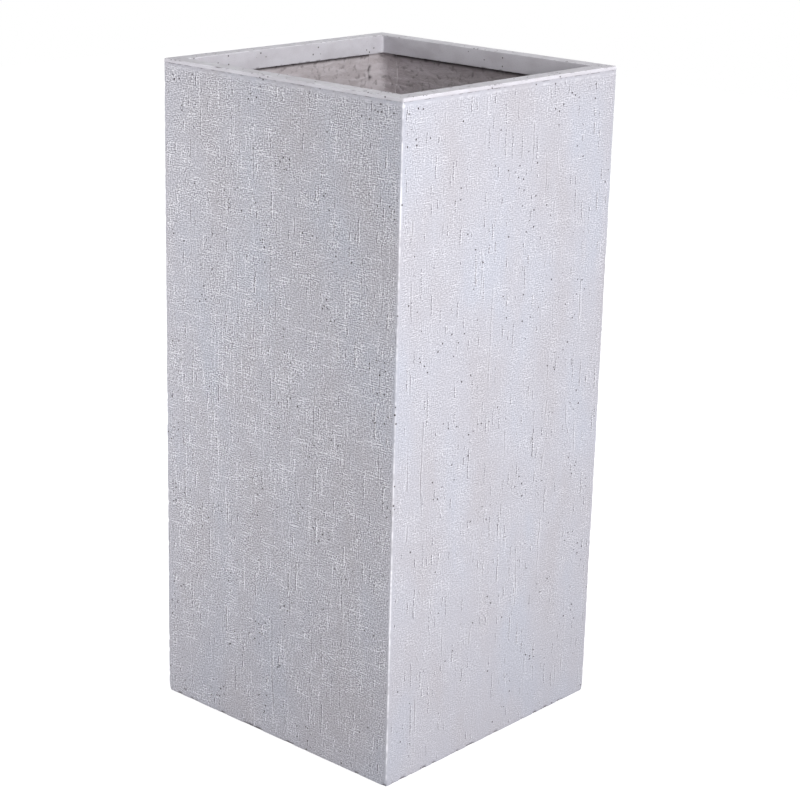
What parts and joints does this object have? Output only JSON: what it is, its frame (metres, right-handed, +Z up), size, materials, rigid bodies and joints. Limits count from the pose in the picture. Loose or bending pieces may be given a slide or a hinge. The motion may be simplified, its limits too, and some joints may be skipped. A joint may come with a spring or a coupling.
{
  "type": "tall square planter",
  "caption": "Tall square floor planter with woven-textured walls, a smooth cast rim collar over an undercut, and a plugged drain hole.",
  "frame": {"origin": "centre of the underside, on the surface that the planter stands on", "axes": "+Z up out of the mouth, -Y towards the front wall, -X towards the left wall"},
  "size_m": [0.33, 0.33, 0.705],
  "materials": {
    "face_coat": "woven matte stone-resin face coat",
    "cast_stone": "smooth matte cast stone-resin",
    "laminate": "rough hand-laid glass-fibre laminate",
    "plug_rubber": "matte moulded rubber"
  },
  "bodies": {
    "tub": {"base_slab": "cast_stone", "face_coat": "face_coat", "wall_mat_front": "laminate", "wall_mat_right": "laminate", "wall_mat_back": "laminate", "wall_mat_left": "laminate", "corner_strip_front_left": "laminate", "corner_strip_front_right": "laminate", "corner_strip_back_right": "laminate", "corner_strip_back_left": "laminate", "floor_cove": "laminate", "rim_collar": "cast_stone"},
    "plug": {"drain_plug": "plug_rubber"}
  },
  "joints": [
    {"name": "plug_pull", "type": "slide", "parent": "tub", "child": "plug", "axis": [0, 0, 1], "range_m": [0, 0.71]}
  ]
}
